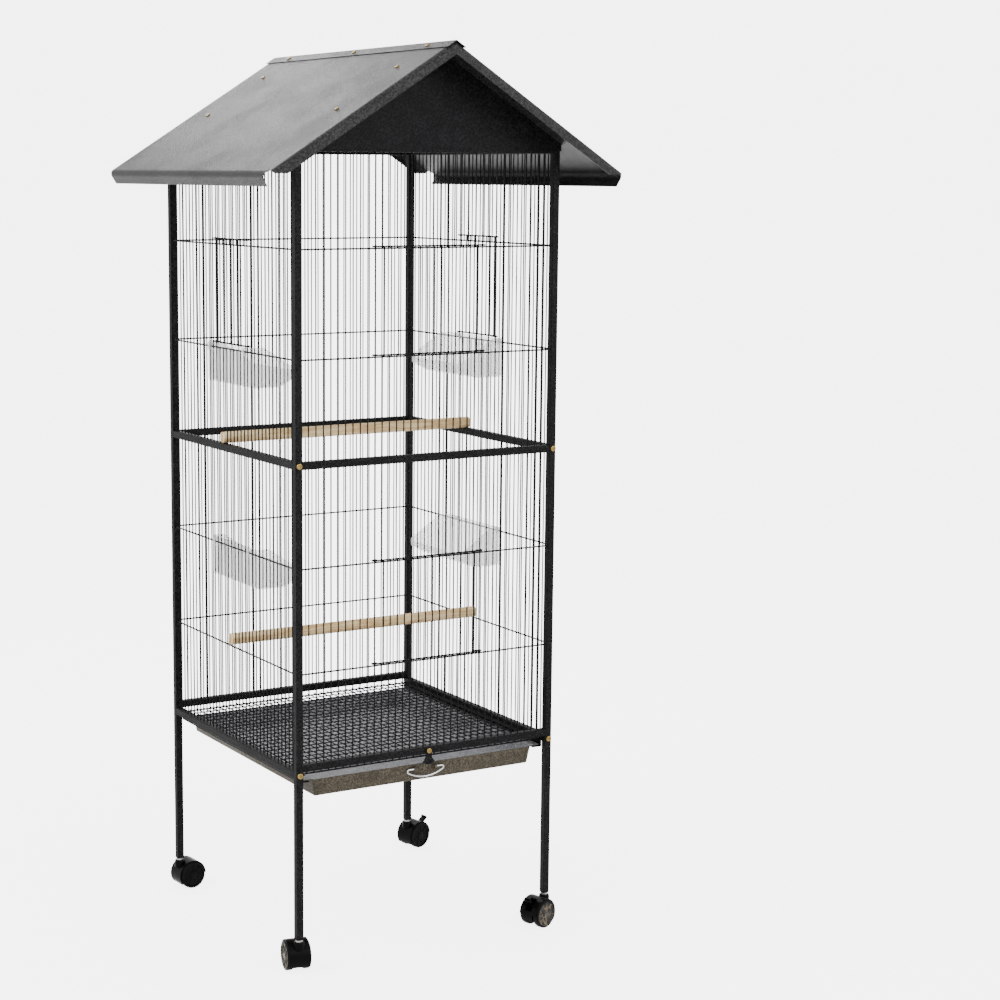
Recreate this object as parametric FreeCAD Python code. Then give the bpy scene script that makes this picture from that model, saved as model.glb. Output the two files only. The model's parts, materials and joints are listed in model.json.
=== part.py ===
"""Bird cage on a rolling stand: square-tube frame, wire walls, pitched sheet roof, slide-out tray.

Millimetres. Origin on the floor under the middle of the cage. +X runs to the right along the front,
+Y runs to the back, +Z is up. The front is the gable side with the two tall doors and the tray latch.
"""
import math
import os

import FreeCAD
import Part

Vector = FreeCAD.Vector
X_AXIS = Vector(1, 0, 0)
Y_AXIS = Vector(0, 1, 0)
Z_AXIS = Vector(0, 0, 1)

# Driving dimensions: cage
cage_width = 508.0
cage_depth = 508.0
overall_height = 1550.0
tube = 12.7
tube_wall = 1.0
tube_corner = 1.4
bottom_rail_z = 355.0
side_rail_drop = 11.5
mid_rail_share = 0.4978
top_rail_gap = 2.5
post_top_gap = 1.6
leg_joint_drop = 62.0
spigot_reach = 32.0
rail_end_plate = 1.5

# Driving dimensions: wire walls
gaps_per_wall = 35
upright_wire = 2.2
cross_wire = 2.8
door_edge_wire = 3.0
upper_opening_share = (0.3364, 0.6843)
lower_opening_share = (0.3143, 0.6621)
door_half_gaps = 7.5
feeder_half_gaps = 4.5
wire_clearance = 0.3
eye_slack = 1.5
eye_return = 7.5

# Driving dimensions: roof
roof_overhang_side = 84.0
roof_overhang_end = 76.0
roof_pitch_deg = 32.1
sheet = 1.2
fold_radius = 9.0
eave_fold = 24.0
rake_fold = 18.0
eave_notch = 32.0
notch_radius = 16.0
cap_leg = 20.0
gable_drop = 1.9
gable_flange = 16.0
gable_ear_height = 13.0
gable_bolt_rise = 5.5
ridge_split = 0.3

# Driving dimensions: floor of the cage
tray_side_gap = 23.3
tray_front_gap = 0.3
tray_back_reach = 4.7
tray_rim_drop = 25.2
tray_depth = 29.8
tray_taper = 5.5
tray_lip = 20.0
runner_foot = 18.0
runner_ledge = 10.0
runner_ledge_drop = 15.0
grate_frame_wire = 3.0
grate_wire = 2.0
grate_cross_pitch = 20.0
slide_gap = 0.3

# Driving dimensions: tray latch and handle
latch_reach = 24.6
latch_foot_half = 12.0
latch_eye_radius = 6.2
handle_half_width = 33.0
handle_lug_x = 20.0
handle_curl = 3.0
handle_curl_deg = 150.0
handle_wire = 3.0
handle_drop = 7.8

# Driving dimensions: cups and perches
cup_half_width = 92.0
cup_depth = 88.0
cup_height = 70.0
cup_wall = 2.5
cup_rise = 8.0
cup_lip_drop = 43.0
cup_hook_width = 7.0
cup_hook_thick = 4.8
cup_hook_fall = 7.0
cup_hook_gaps = 5
perch_diameter = 20.0

# Driving dimensions: fasteners
bolt_shank = 4.0
bolt_head = 10.5
bolt_head_height = 3.0
screw_shank = 3.2
screw_head = 7.6
screw_head_height = 2.2
cross_slot = 1.1

# Driving dimensions: casters
wheel_diameter = 50.0
wheel_width = 12.0
wheel_inner = 9.0
caster_trail = 18.0
caster_axle = 6.0
hood_half = 8.5
hood_skin = 1.9
hood_gap = 0.8
hood_side = 19.0
hood_neck = 19.0
hood_rise = 4.5
leg_gap = 4.5
hood_floor_gap = 15.0
stem_diameter = 8.0
stem_collar = 13.0
stem_collar_height = 2.4
stem_drop = 23.0
stem_reach = 22.0
plug_height = 26.0
running_gap = 0.06
lever_half = 7.0
lever_length = 21.0
lever_thick = 3.2
lever_pin = 3.0
lever_out = 14.0
lever_rise = 16.0
lever_lift_deg = 38.0

# Where each caster's wheels trail, as an angle from +X
caster_heading = {"front_left": 79.0, "front_right": 197.0, "back_left": 5.0, "back_right": 14.0}
braked = ("front_right", "back_right")

# Worked-out values
half_w = cage_width / 2
half_d = cage_depth / 2
post_x = half_w - tube / 2
post_y = half_d - tube / 2
inner_x = half_w - tube
inner_y = half_d - tube
pitch_x = 2 * inner_x / gaps_per_wall
pitch_y = 2 * inner_y / gaps_per_wall
side_rail_z = bottom_rail_z - side_rail_drop
hood_top_z = wheel_diameter + hood_rise
leg_bottom_z = hood_top_z + leg_gap
stem_low_z = leg_bottom_z - stem_drop
lever_z = wheel_diameter / 2 + lever_rise
leg_joint_z = bottom_rail_z - leg_joint_drop
tray_half_width = inner_x - tray_side_gap
tray_front_y = tray_front_gap - inner_y
tray_back_y = inner_y + tray_back_reach
tray_rim_z = bottom_rail_z - tray_rim_drop
tray_floor_z = tray_rim_z - tray_depth
runner_ledge_z = bottom_rail_z - runner_ledge_drop
handle_z = tray_rim_z - handle_drop
roof_half_width = half_w + roof_overhang_side
roof_half_length = half_d + roof_overhang_end
slope = math.radians(roof_pitch_deg)
ridge_z = overall_height - sheet / math.cos(slope)
roof_run = roof_half_width / math.cos(slope)
eave_z = ridge_z - roof_half_width * math.tan(slope)


def roof_under_z(x):
    """Height of the underside of the roof sheet at distance x from the ridge."""
    return ridge_z - abs(x) * math.tan(slope) - sheet / math.cos(slope)


post_top = roof_under_z(half_w) - post_top_gap
top_rail_z = post_top - top_rail_gap - tube / 2
mid_rail_z = bottom_rail_z + mid_rail_share * (top_rail_z - bottom_rail_z)
upper_opening = tuple(mid_rail_z + share * (top_rail_z - mid_rail_z) for share in upper_opening_share)
lower_opening = tuple(bottom_rail_z + share * (mid_rail_z - bottom_rail_z) for share in lower_opening_share)
gable_bottom_z = top_rail_z - gable_drop
gable_bolt_z = gable_bottom_z + gable_bolt_rise
corners = {
    "front_left": (-1, -1),
    "front_right": (1, -1),
    "back_left": (-1, 1),
    "back_right": (1, 1),
}


def box(x, y, z):
    """Box between two values on each axis."""
    size = (abs(x[1] - x[0]), abs(y[1] - y[0]), abs(z[1] - z[0]))
    return Part.makeBox(*size, Vector(min(x), min(y), min(z)))


def rod(radius, start, end):
    """Round bar between two points."""
    start = Vector(*start)
    run = Vector(*end) - start
    return Part.makeCylinder(radius, run.Length, start, run)


def prism(points, push):
    """Solid from a closed outline of points and a push vector."""
    outline = [Vector(*p) for p in points]
    face = Part.Face(Part.makePolygon(outline + outline[:1]))
    return face.extrude(Vector(*push))


def long_edges(solid, direction):
    """Straight edges of a solid that run along a direction."""
    found = []
    for edge in solid.Edges:
        line = edge.Vertexes[-1].Point - edge.Vertexes[0].Point
        if line.Length > 1e-6 and line.normalize().cross(direction).Length < 1e-6:
            found.append(edge)
    return found


def square_tube(low, high, axis):
    """Square tube with rounded outer corners between opposite corners of its box, open along axis."""
    block = box(*zip(low, high))
    block = block.makeFillet(tube_corner, long_edges(block, axis))
    inset = [tube_wall if abs(a) < 0.5 else -1.0 for a in axis]
    hollow = box(*((a + i, b - i) for a, b, i in zip(low, high, inset)))
    return block.cut(hollow)


def half_turn(shape):
    turned = shape.copy()
    turned.rotate(Vector(0, 0, 0), Z_AXIS, 180)
    return turned


def cross_head(base, outward, head, height, shank, length):
    """Pan-head fastener: base is on the surface under its head, outward points out of the surface."""
    outward = Vector(*outward).normalize()
    base = Vector(*base)
    cap = Part.makeCylinder(head / 2, height, base, outward)
    rim = [e for e in cap.Edges if isinstance(e.Curve, Part.Circle)
           and (e.Curve.Center - base).dot(outward) > height / 2]
    cap = cap.makeFillet(height * 0.6, rim)
    body = cap.fuse(Part.makeCylinder(shank / 2, length, base, outward * -1))
    side = outward.cross(Z_AXIS if abs(outward.z) < 0.9 else X_AXIS).normalize()
    other = outward.cross(side)
    for across, along in ((side, other), (other, side)):
        slot = Part.makeBox(head * 0.56, cross_slot, height)
        place = FreeCAD.Matrix(
            across.x, along.x, outward.x, 0, across.y, along.y, outward.y, 0,
            across.z, along.z, outward.z, 0, 0, 0, 0, 1)
        slot.translate(Vector(-head * 0.28, -cross_slot / 2, height * 0.45))
        slot = slot.transformGeometry(place)
        slot.translate(base)
        body = body.cut(slot)
    return body


def export(name, shapes):
    """Write one named piece, or a group of separate identical pieces, as STEP."""
    shapes = shapes if isinstance(shapes, list) else [shapes]
    solids = [s for shape in shapes for s in shape.removeSplitter().Solids]
    whole = solids[0] if len(solids) == 1 else Part.makeCompound(solids)
    whole.exportStep("parts/%s.step" % name)
    print(name, len(solids), round(sum(s.Volume for s in solids), 1), all(s.isValid() for s in solids))


# Frame tubes

def post(sx, sy):
    """Upper corner post with through holes for its rail bolts and one side hole for the gable bolt."""
    low = (sx * post_x - tube / 2, sy * post_y - tube / 2, leg_joint_z)
    high = (sx * post_x + tube / 2, sy * post_y + tube / 2, post_top)
    body = square_tube(low, high, Z_AXIS)
    hole = bolt_shank / 2 + running_gap
    for z in (mid_rail_z, side_rail_z):
        body = body.cut(rod(hole, (sx * post_x, sy * (half_d + 1), z), (sx * post_x, sy * (inner_y - 1), z)))
    side = rod(hole, (sx * (half_w + 1), sy * post_y, gable_bolt_z), (sx * post_x, sy * post_y, gable_bolt_z))
    return body.cut(side)


def leg(sx, sy):
    """Lower leg with the welded spigot that goes up inside the post."""
    x, y = sx * post_x, sy * post_y
    low = (x - tube / 2, y - tube / 2, leg_bottom_z)
    high = (x + tube / 2, y + tube / 2, leg_joint_z)
    body = square_tube(low, high, Z_AXIS)
    bore = tube / 2 - tube_wall
    snug = bore - 0.1
    lower = box((x - bore, x + bore), (y - bore, y + bore), (leg_joint_z - spigot_reach, leg_joint_z))
    upper = box((x - snug, x + snug), (y - snug, y + snug), (leg_joint_z, leg_joint_z + spigot_reach))
    core = snug - tube_wall
    hollow = box((x - core, x + core), (y - core, y + core),
                 (leg_joint_z - spigot_reach - 1, leg_joint_z + spigot_reach + 1))
    return body.fuse([lower, upper]).cut(hollow)


def end_rail(sy, z):
    """Front or back cross rail, welded between the posts."""
    y = sy * post_y
    return square_tube((-inner_x, y - tube / 2, z - tube / 2), (inner_x, y + tube / 2, z + tube / 2), X_AXIS)


def side_rail(sx, z, bolted):
    """Side rail; a bolted one has an end plate with a bolt hole at each end."""
    x = sx * post_x
    rail = square_tube((x - tube / 2, -inner_y, z - tube / 2), (x + tube / 2, inner_y, z + tube / 2), Y_AXIS)
    if not bolted:
        return rail
    bore = tube / 2 - tube_wall
    for sy in (-1, 1):
        across = (x - bore, x + bore)
        plate = box(across, (sy * inner_y, sy * (inner_y - rail_end_plate)), (z - bore, z + bore))
        hole = rod(bolt_shank / 2 + running_gap, (x, sy * (inner_y + 1), z), (x, sy * (inner_y - 4), z))
        rail = rail.fuse(plate).cut(hole)
    return rail


def frame_bolts():
    """Through bolts for the side rails, and the side bolts of the gables."""
    bolts = []
    reach = tube + rail_end_plate + 4.0
    for sx, sy in corners.values():
        for z in (mid_rail_z, side_rail_z):
            bolts.append(cross_head((sx * post_x, sy * half_d, z), (0, sy, 0),
                                    bolt_head, bolt_head_height, bolt_shank, reach))
        bolts.append(cross_head((sx * (half_w + sheet), sy * post_y, gable_bolt_z), (sx, 0, 0),
                                bolt_head * 0.8, bolt_head_height, bolt_shank, 8.0))
    return bolts


# Wire walls. A wall is drawn at the front with its run along X, then turned to its side.

upright_y = -post_y
cross_y = upright_y - (upright_wire + cross_wire) / 2
bar_y = cross_y - wire_clearance
leaf_back_y = cross_y - cross_wire / 2 - wire_clearance


def wire_wall(inner, low_z, high_z, opening, open_gaps, wall_y):
    """Upright wires between two rails, two cross wires, and a door opening between the cross wires."""
    pitch = 2 * inner / gaps_per_wall
    shift = wall_y - upright_y
    wires = []
    for k in range(gaps_per_wall - 1):
        x = (k + 1) * pitch - inner
        y = upright_y + shift
        spans = [(low_z, high_z)]
        if abs(x) < open_gaps * pitch - pitch / 2:
            spans = [(low_z, opening[0] + cross_wire / 2), (opening[1] - cross_wire / 2, high_z)]
        for z0, z1 in spans:
            wires.append(rod(upright_wire / 2, (x, y, z0), (x, y, z1)))
    for z in opening:
        wires.append(rod(cross_wire / 2, (-inner, cross_y + shift, z), (inner, cross_y + shift, z)))
    return wires


def turn_all(shapes, degrees):
    """Turn copies of shapes about the vertical axis through the origin."""
    turned = []
    for shape in shapes:
        copy = shape.copy()
        copy.rotate(Vector(0, 0, 0), Z_AXIS, degrees)
        turned.append(copy)
    return turned


def door(pitch, half_gaps, low_z, high_z, shift):
    """Sliding wire door: two bars whose bent ends run on wall wires, and the wires of the leaf."""
    guide_x = half_gaps * pitch
    loop = upright_wire / 2 + wire_clearance + cross_wire / 2
    leaf_x = guide_x - pitch
    pieces = []
    for z in (low_z, high_z):
        for side in (-1, 1):
            turn_x = side * (guide_x + eye_slack)
            centre = Vector(turn_x, upright_y + shift, z)
            front = Vector(turn_x, bar_y + shift, z)
            back = Vector(turn_x, upright_y + shift + loop, z)
            outer = centre + Vector(side * loop, 0, 0)
            tail = Vector(turn_x - side * eye_return, back.y, z)
            middle = Vector(0, bar_y + shift, z)
            path = Part.Wire([Part.LineSegment(middle, front).toShape(),
                              Part.Arc(front, outer, back).toShape(),
                              Part.LineSegment(back, tail).toShape()])
            ring = Part.Wire(Part.Circle(middle, Vector(side, 0, 0), cross_wire / 2).toShape())
            pieces.append(path.makePipeShell([ring], True, False))
    count = int(round(2 * leaf_x / pitch))
    bars = [pieces[0].fuse(pieces[1]), pieces[2].fuse(pieces[3])]
    leaf = []
    for k in range(count + 1):
        x = k * pitch - leaf_x
        wire = door_edge_wire if k in (0, count) else upright_wire
        y = leaf_back_y + shift - wire / 2
        leaf.append(rod(wire / 2, (x, y, low_z - cross_wire / 2), (x, y, high_z + cross_wire / 2)))
    return bars, leaf


def welded_door(pitch, half_gaps, low_z, high_z, shift):
    """One solid: leaf wires and bars joined by small welds at each crossing."""
    bars, leaf = door(pitch, half_gaps, low_z, high_z, shift)
    welds = []
    for k, wire in enumerate(leaf):
        for z in (low_z, high_z):
            edge = wire.BoundBox
            x = (edge.XMin + edge.XMax) / 2
            y = (edge.YMin + edge.YMax) / 2
            welds.append(box((x - 0.8, x + 0.8), (bar_y + shift, y), (z - 0.8, z + 0.8)))
    return bars[0].fuse([bars[1]] + leaf + welds)


# Roof

def slope_place(s, y, n):
    """Point on the right-hand slope: s down from the ridge, y along it, n out of the sheet's outer face."""
    x = s * math.cos(slope) + n * math.sin(slope)
    z = ridge_z - s * math.sin(slope) + n * math.cos(slope)
    return Vector(x, y, z)


def fold_section(flat_from, flat_to, drop_from, drop_to, place):
    """Face of a folded sheet: flat along the first value with a rounded fold down at one or both ends."""
    r, t = fold_radius, sheet
    cut45 = r * (1 - math.sqrt(0.5))
    in45 = r - (r - t) * math.sqrt(0.5)
    edges = []
    outer = []
    inner = []
    if drop_from:
        outer.append([(flat_from, -drop_from), (flat_from, -r)])
        outer.append([(flat_from, -r), (flat_from + cut45, -cut45), (flat_from + r, 0)])
        inner.append([(flat_from + r, -t), (flat_from + in45, -in45), (flat_from + t, -r)])
        inner.append([(flat_from + t, -r), (flat_from + t, -drop_from)])
        start = flat_from + r
    else:
        start = flat_from
    end = flat_to - r if drop_to else flat_to
    outer.append([(start, 0), (end, 0)])
    if drop_to:
        outer.append([(end, 0), (flat_to - cut45, -cut45), (flat_to, -r)])
        outer.append([(flat_to, -r), (flat_to, -drop_to)])
    tail = [(flat_to, -drop_to), (flat_to - t, -drop_to)] if drop_to else [(flat_to, 0), (flat_to, -t)]
    back = []
    if drop_to:
        back.append([(flat_to - t, -drop_to), (flat_to - t, -r)])
        back.append([(flat_to - t, -r), (flat_to - in45, -in45), (end, -t)])
    back.append([(end, -t), (start, -t)])
    head = [(flat_from + t, -drop_from), (flat_from, -drop_from)] if drop_from else [(start, -t), (start, 0)]
    for run in outer + [tail] + back + inner + [head]:
        points = [place(*p) for p in run]
        if len(points) == 3:
            edges.append(Part.Arc(*points).toShape())
        elif (points[1] - points[0]).Length > 1e-6:
            edges.append(Part.LineSegment(*points).toShape())
    return Part.Face(Part.Wire(Part.__sortEdges__(edges)))


def roof_sheet():
    """Right-hand roof sheet: eave and rake folds, with the eave fold cut back at its rear end."""
    down = slope_place(1, 0, 0) - slope_place(0, 0, 0)
    length = roof_half_length
    plate_end = roof_run - fold_radius
    rakes = fold_section(-length, length, rake_fold, rake_fold, lambda y, n: slope_place(0, y, n))
    body = rakes.extrude(down * plate_end)
    eave_front = -length + fold_radius
    eave_back = length - eave_notch
    eave = fold_section(plate_end, roof_run, 0, eave_fold, lambda s, n: slope_place(s, eave_front, n))
    body = body.fuse(eave.extrude(Vector(0, eave_back + notch_radius - eave_front, 0)))
    body = body.fuse(corner_shell(eave_front))
    for cutter in eave_relief(eave_back, down):
        body = body.cut(cutter)
    body = body.cut(box((-100, ridge_split / 2), (-length - 5, length + 5), (ridge_z - 60, ridge_z + 60)))
    for y0 in (-length - 1, length - fold_radius):
        below = box((0, roof_half_width + 50), (y0, y0 + fold_radius + 1), (eave_z - 60, eave_z))
        body = body.cut(below)
    return body


def eave_relief(y, down):
    """Cutters for the rounded cut-back at the rear end of the eave fold."""
    r = notch_radius
    s = roof_run - 3 * fold_radius
    run = 5 * fold_radius
    middle = -sheet - r
    round_part = Part.makeCylinder(r, run, slope_place(s, y + r, middle), down)
    corners_yn = [(y, middle), (y + r, middle), (y + r, -eave_fold - 5), (y, -eave_fold - 5)]
    lower = prism([slope_place(s, a, b) for a, b in corners_yn], down * run)
    return [round_part, lower]


def corner_shell(y):
    """Rounded corner that joins the rake fold to the eave fold at the front."""
    centre = slope_place(roof_run - fold_radius, y, -fold_radius)
    ball = Part.makeSphere(fold_radius, centre).cut(Part.makeSphere(fold_radius - sheet, centre))
    size = fold_radius + 1
    keep = Part.makeBox(size, size, size)
    along = slope_place(1, 0, 0) - slope_place(0, 0, 0)
    normal = slope_place(0, 0, 1) - slope_place(0, 0, 0)
    place = FreeCAD.Matrix(along.x, 0, normal.x, centre.x, along.y, -1, normal.y, centre.y,
                           along.z, 0, normal.z, centre.z, 0, 0, 0, 1)
    return ball.common(keep.transformGeometry(place))


def ridge_cap():
    """Angle strip over the ridge."""
    points = []
    for s, n in ((cap_leg, 0), (cap_leg, sheet)):
        points.append(slope_place(s, -roof_half_length, n))
    apex_out = Vector(0, -roof_half_length, overall_height)
    apex_in = Vector(0, -roof_half_length, ridge_z)
    left = [Vector(-p.x, p.y, p.z) for p in points]
    outline = [points[0], points[1], apex_out, left[1], left[0], apex_in]
    face = Part.Face(Part.makePolygon(outline + outline[:1]))
    return face.extrude(Vector(0, 2 * roof_half_length, 0))


def gable():
    """Front gable: plate in front of the top rail, flanges under the roof sheets, ears round the posts."""
    y_out = -half_d - sheet
    z_side = roof_under_z(half_w + sheet)
    apex = roof_under_z(0)
    outline = [(-half_w - sheet, y_out, gable_bottom_z), (half_w + sheet, y_out, gable_bottom_z),
               (half_w + sheet, y_out, z_side), (0, y_out, apex), (-half_w - sheet, y_out, z_side)]
    body = prism(outline, (0, sheet, 0))
    thick = sheet / math.cos(slope)
    for side in (-1, 1):
        x_end = side * (half_w + sheet)
        strip = [(0, -half_d, apex), (x_end, -half_d, z_side),
                 (x_end, -half_d, z_side - thick), (0, -half_d, apex - thick)]
        body = body.fuse(prism(strip, (0, gable_flange, 0)))
        ear = box((side * half_w, x_end), (-half_d, -half_d + gable_flange),
                  (gable_bottom_z, gable_bottom_z + gable_ear_height - thick))
        body = body.fuse(ear)
        hole = rod(bolt_shank / 2 + running_gap, (side * (half_w - 1), -post_y, gable_bolt_z),
                   (side * (half_w + 3), -post_y, gable_bolt_z))
        body = body.cut(hole)
    return body


screw_rows = (0.252 * half_w, 0.689 * half_w)
screw_y = post_y
cap_screw_y = (2.0 - half_d, 0.0, half_d - 2.0)


def roof_screw_places():
    """Place and outward direction of every roof and ridge screw, right-hand side first."""
    out = slope_place(0, 0, 1) - slope_place(0, 0, 0)
    places = []
    for x in screw_rows:
        for y in (-screw_y, screw_y):
            places.append((slope_place(x / math.cos(slope), y, 0), out))
    for y in cap_screw_y:
        places.append((slope_place(cap_leg / 2, y, sheet), out))
    mirrored = [(Vector(-p.x, p.y, p.z), Vector(-d.x, d.y, d.z)) for p, d in places]
    return places + mirrored


def drill(shape, radius):
    """Clear every roof screw's shank out of a shape."""
    for place, out in roof_screw_places():
        shape = shape.cut(Part.makeCylinder(radius, 12, place + out * 2, out * -1))
    return shape


# Floor of the cage

def tray_runner(sx):
    """Folded runner on the inside of a side rail: upper ledge for the grate, lower foot for the tray."""
    foot_top = tray_rim_z - sheet - slide_gap
    web_out = sx * inner_x
    web_in = sx * (inner_x - sheet)
    length = (-inner_y, inner_y)
    web = box((web_out, web_in), length, (foot_top - sheet, side_rail_z + tube / 2 - 1))
    foot = box((web_out, sx * (inner_x - runner_foot)), length, (foot_top - sheet, foot_top))
    ledge = box((web_out, sx * (inner_x - runner_ledge)), length, (runner_ledge_z - sheet, runner_ledge_z))
    return web.fuse([foot, ledge])


def tapered_block(inset, z_low, z_high):
    """Solid whose plan shrinks towards the floor like the tray's walls, with its sides moved in by inset."""
    def ring(z):
        drop = (tray_rim_z - z) / (tray_rim_z - tray_floor_z)
        x = tray_half_width - inset - tray_taper * drop
        front = tray_front_y + inset + tray_taper * 0.55 * drop
        back = tray_back_y - inset - tray_taper * 0.55 * drop
        points = [Vector(-x, front, z), Vector(x, front, z), Vector(x, back, z), Vector(-x, back, z)]
        return Part.makePolygon(points + points[:1])
    return Part.makeLoft([ring(z_low), ring(z_high)], True, True)


def tray():
    """Pull-out tray: tapered pan with lips that slide on the runners."""
    hollow = tapered_block(sheet, tray_floor_z + sheet, tray_rim_z + 5)
    pan = tapered_block(0, tray_floor_z, tray_rim_z).cut(hollow)
    for sx in (-1, 1):
        lip = box((sx * (tray_half_width - 0.5), sx * (tray_half_width + tray_lip)),
                  (tray_front_y, tray_back_y), (tray_rim_z - sheet, tray_rim_z))
        pan = pan.fuse(lip)
    return pan.cut(hollow)


def handle_lug(side):
    """Small lug on the tray front that holds one end of the handle."""
    y_wall = tray_front_y + tray_taper * 0.55 * (tray_rim_z - handle_z) / (tray_rim_z - tray_floor_z)
    x = side * handle_lug_x
    block = box((x - 2.5, x + 2.5), (y_wall - 7.0, y_wall + 0.2), (handle_z - 3.6, handle_z + 3.6))
    block = block.makeFillet(1.2, [e for e in long_edges(block, X_AXIS) if e.BoundBox.YMax < y_wall - 5])
    block = block.cut(tapered_block(0, tray_floor_z, tray_rim_z))
    hole = handle_wire / 2 + running_gap
    return block.cut(rod(hole, (x - 4, handle_y, handle_z), (x + 4, handle_y, handle_z)))


handle_y = tray_front_y - 3.4


def tray_handle():
    """Bail handle hanging from the lugs: straight pins, a tight curl at each side, one shallow bow."""
    stop = math.pi / 2 - math.radians(handle_curl_deg)

    def curl(side, angle):
        x = handle_half_width + handle_curl * math.cos(angle)
        return Vector(side * x, handle_y, handle_z - handle_curl + handle_curl * math.sin(angle))

    edges = []
    for side in (-1, 1):
        pin = Vector(side * (handle_lug_x - 3.2), handle_y, handle_z)
        edges.append(Part.LineSegment(pin, curl(side, math.pi / 2)).toShape())
        middle = (math.pi / 2 + stop) / 2
        edges.append(Part.Arc(curl(side, math.pi / 2), curl(side, middle), curl(side, stop)).toShape())
    bow_end = curl(1, stop)
    bow_radius = bow_end.x / math.cos(stop)
    bottom = Vector(0, handle_y, bow_end.z - bow_radius * math.sin(stop) - bow_radius)
    edges.append(Part.Arc(curl(-1, stop), bottom, bow_end).toShape())
    path = Part.Wire(Part.__sortEdges__(edges))
    start = Vector(-(handle_lug_x - 3.2), handle_y, handle_z)
    ring = Part.Wire(Part.Circle(start, X_AXIS, handle_wire / 2).toShape())
    return path.makePipeShell([ring], True, False)


def latch_plate():
    """Flared swivel plate that hangs from its screw in front of the tray."""
    y = -half_d - 0.3
    z0 = bottom_rail_z
    low = z0 - latch_reach
    r = latch_eye_radius
    corner = 5.0
    foot = latch_foot_half
    right_up = Vector(r, y, z0)
    right_low = Vector(foot, y, low + corner)
    left_up = Vector(-r, y, z0)
    left_low = Vector(-foot, y, low + corner)
    waist = z0 - latch_reach * 0.42
    edges = [Part.Arc(right_up, Vector(0, y, z0 + r), left_up).toShape(),
             Part.Arc(left_up, Vector(-r, y, waist), left_low).toShape(),
             Part.Arc(left_low, Vector(0, y, low), right_low).toShape(),
             Part.Arc(right_low, Vector(r, y, waist), right_up).toShape()]
    plate = Part.Face(Part.Wire(edges)).extrude(Vector(0, -sheet, 0))
    return plate.cut(rod(bolt_shank / 2 + running_gap, (0, y + 1, z0), (0, y - 4, z0)))


def latch_screw():
    """Screw that carries the latch plate; its shank goes through the front wall of the rail."""
    base = (0, -half_d - 0.3 - sheet - slide_gap, bottom_rail_z)
    return cross_head(base, (0, -1, 0), bolt_head * 0.92, bolt_head_height, bolt_shank, sheet + 5.0)


def grate():
    """Floor grate: edge wires, wires front to back, and cross wires below them, each wire separate."""
    x_edge = inner_x - sheet - grate_frame_wire / 2 - 1.0
    y_edge = inner_y - grate_frame_wire / 2 - 2.0
    z_edge = runner_ledge_z + grate_frame_wire / 2
    r = grate_frame_wire / 2
    wires = []
    for side in (-1, 1):
        wires.append(rod(r, (side * x_edge, -y_edge - r, z_edge), (side * x_edge, y_edge + r, z_edge)))
        wires.append(rod(r, (-x_edge + r, side * y_edge, z_edge), (x_edge - r, side * y_edge, z_edge)))
    z_cross = runner_ledge_z + grate_wire / 2
    rows = int(2 * (y_edge - r) / grate_cross_pitch)
    for k in range(rows):
        y = (k - (rows - 1) / 2) * grate_cross_pitch
        wires.append(rod(grate_wire / 2, (-x_edge + r, y, z_cross), (x_edge - r, y, z_cross)))
    z_long = z_edge + r + grate_wire / 2
    for k in range(1, gaps_per_wall):
        x = k * pitch_x - inner_x
        if abs(x) < x_edge - r - grate_wire:
            wires.append(rod(grate_wire / 2, (x, -y_edge - r, z_long), (x, y_edge + r, z_long)))
    return wires


# Cups and perches

def cup(level_z, gap_shift):
    """Feed cup on the right wall: tall back, sloping end walls, low lip, two hooks over the cross wire."""
    x0 = post_x - upright_wire / 2 - wire_clearance
    top = level_z + cup_rise
    low = top - cup_height
    x_lip = x0 - cup_depth
    lip_top = top - cup_lip_drop
    lip_low = lip_top - 9.0
    outline = [(x0, top), (x0 - 22.0, top), (x_lip, lip_top),
               (x_lip, lip_low), (x_lip + 34.0, low), (x0, low)]
    inner = [(x0 - cup_wall, top + 5), (x_lip + cup_wall, top + 5), (x_lip + cup_wall, lip_low + 1.6),
             (x_lip + 34.0 + 0.4, low + cup_wall), (x0 - cup_wall, low + cup_wall)]
    middle = gap_shift * pitch_y
    shell = prism([(x, middle - cup_half_width, z) for x, z in outline], (0, 2 * cup_half_width, 0))
    runs = [e for e in long_edges(shell, Y_AXIS) if e.BoundBox.ZMax < lip_top - 1 and e.BoundBox.XMax < x0 - 5]
    shell = shell.makeFillet(6.0, runs)
    half_in = cup_half_width - cup_wall
    shell = shell.cut(prism([(x, middle - half_in, z) for x, z in inner], (0, 2 * half_in, 0)))
    wire_out = post_x + upright_wire / 2 + cross_wire
    z_seat = level_z + cross_wire / 2
    for side in (-1, 1):
        y = middle + side * cup_hook_gaps * pitch_y
        ends = (y - cup_hook_width / 2, y + cup_hook_width / 2)
        strap = box((x0 - cup_wall / 2, wire_out + 2.7), ends, (z_seat, z_seat + cup_hook_thick))
        tab = box((wire_out + 0.1, wire_out + 2.7), ends, (level_z - cup_hook_fall, z_seat + cup_hook_thick))
        shell = shell.fuse([strap, tab])
    return shell


def perch(y, z):
    """Round wooden perch along X whose slotted ends straddle a wall wire."""
    reach = post_x + upright_wire / 2 + cross_wire - 0.2
    body = rod(perch_diameter / 2, (-reach, y, z), (reach, y, z))
    slot = upright_wire / 2 + 0.5
    for side in (-1, 1):
        across = (side * (post_x - slot), side * (reach + 1))
        body = body.cut(box(across, (y - slot, y + slot), (z - 20, z + 20)))
    return body


# Casters, drawn at the origin of their stem with the wheels trailing along +X

axle_z = wheel_diameter / 2
wheel_r = wheel_diameter / 2


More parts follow.
